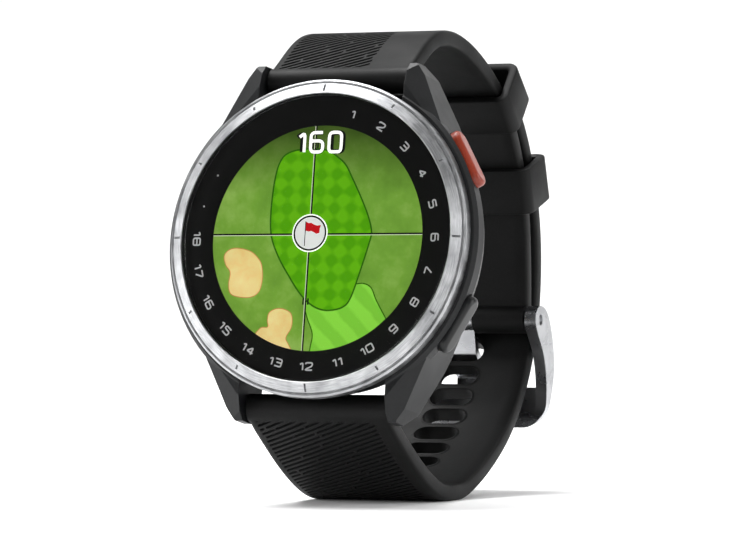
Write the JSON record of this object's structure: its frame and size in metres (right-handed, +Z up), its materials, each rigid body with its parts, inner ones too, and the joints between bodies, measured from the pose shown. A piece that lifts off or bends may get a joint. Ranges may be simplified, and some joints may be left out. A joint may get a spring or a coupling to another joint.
{
  "type": "golf gps watch",
  "caption": "Round golf GPS wristwatch with a touch display, metal bezel, side buttons and a buckled silicone strap, standing on its strap loop.",
  "frame": {"origin": "on the underside of the strap loop, at the flat stretch the watch stands on, on the middle plane of the strap", "axes": "+X towards the wearer's 3 o'clock side, +Y away from the face through the loop, +Z up, off the surface it stands on"},
  "size_m": [0.0438, 0.0602, 0.0628],
  "materials": {
    "case": "fine matt",
    "bezel": "brushed",
    "glass": "polished",
    "seal": "matt",
    "display": "gloss",
    "inner_plastic": "matt",
    "board": "solder mask",
    "shield": "satin",
    "battery": "foil pouch",
    "aerial": "bare copper",
    "motor": "satin",
    "rear_plastic": "fine matt",
    "screw": "satin",
    "insert": "machined",
    "contact": "gold plated",
    "red_button": "satin",
    "black_button": "satin",
    "spring_steel": "bare",
    "switch": "moulded",
    "strap": "matt silicone",
    "buckle": "polished edges, satin faces",
    "keeper": "matt silicone"
  },
  "bodies": {
    "watch": {"case_body": "case", "bezel_ring": "bezel", "cover_lens": "glass", "lens_gasket": "seal", "display_panel": "display", "inner_frame": "inner_plastic", "main_board": "board", "shield_can": "shield", "battery": "battery", "gps_antenna": "aerial", "motor_case": "motor", "rear_cover": "rear_plastic", "rear_cover_seal": "seal", "rear_cover_screws": "screw", "screw_inserts": "insert", "contact_holder": "inner_plastic", "charge_contacts": "contact", "upper_button_switch": "switch", "lower_button_switch": "switch", "upper_spring_bar": "spring_steel", "lower_spring_bar": "spring_steel", "upper_bar_spring": "spring_steel", "lower_bar_spring": "spring_steel", "short_strap": "strap", "long_strap": "strap", "buckle_pin": "spring_steel"},
    "upper_button_group": {"upper_button": "red_button", "upper_button_seal": "seal", "upper_button_clip": "spring_steel"},
    "lower_button_group": {"lower_button": "black_button", "lower_button_seal": "seal", "lower_button_clip": "spring_steel"},
    "upper_release": {"upper_release_pin": "spring_steel"},
    "lower_release": {"lower_release_pin": "spring_steel"},
    "frame": {"buckle_frame": "buckle"},
    "tongue": {"buckle_tongue": "buckle"},
    "upper_loop": {"upper_keeper": "keeper"},
    "lower_loop": {"lower_keeper": "keeper"},
    "rotor": {"motor_rotor": "motor"}
  },
  "joints": [
    {"name": "upper_button_press", "type": "slide", "parent": "watch", "child": "upper_button_group", "axis": [-0.8704, -0.0813, -0.4857], "range_m": [0, 0.0003], "stiffness_N_per_m": 3000, "springref_m": -0.0001},
    {"name": "lower_button_press", "type": "slide", "parent": "watch", "child": "lower_button_group", "axis": [-0.8704, 0.0813, 0.4857], "range_m": [0, 0.0003], "stiffness_N_per_m": 3000, "springref_m": -0.0001},
    {"name": "upper_release_slide", "type": "slide", "parent": "watch", "child": "upper_release", "axis": [-1, 0, 0], "range_m": [0, 0.00125], "stiffness_N_per_m": 900, "springref_m": -0.0005},
    {"name": "lower_release_slide", "type": "slide", "parent": "watch", "child": "lower_release", "axis": [-1, 0, 0], "range_m": [0, 0.00125], "stiffness_N_per_m": 900, "springref_m": -0.0005},
    {"name": "frame_swing", "type": "hinge", "parent": "watch", "child": "frame", "pos_m": [0, 0.0296, 0.0239], "axis": [1, 0, 0], "range_deg": [-9, 0]},
    {"name": "tongue_swing", "type": "hinge", "parent": "watch", "child": "tongue", "pos_m": [0, 0.0296, 0.0239], "axis": [1, 0, 0], "range_deg": [0, 3]},
    {"name": "upper_loop_slide", "type": "hinge", "parent": "watch", "child": "upper_loop", "pos_m": [0, 0.00596, 0.03628], "axis": [1, 0, 0], "range_deg": [-3, 3]},
    {"name": "lower_loop_slide", "type": "hinge", "parent": "watch", "child": "lower_loop", "pos_m": [0, 0.00872, 0.0359], "axis": [1, 0, 0], "range_deg": [-3, 3]},
    {"name": "rotor_spin", "type": "hinge", "parent": "watch", "child": "rotor", "pos_m": [0, -0.01661, 0.02235], "axis": [0, -0.9863, 0.165], "continuous": true}
  ]
}
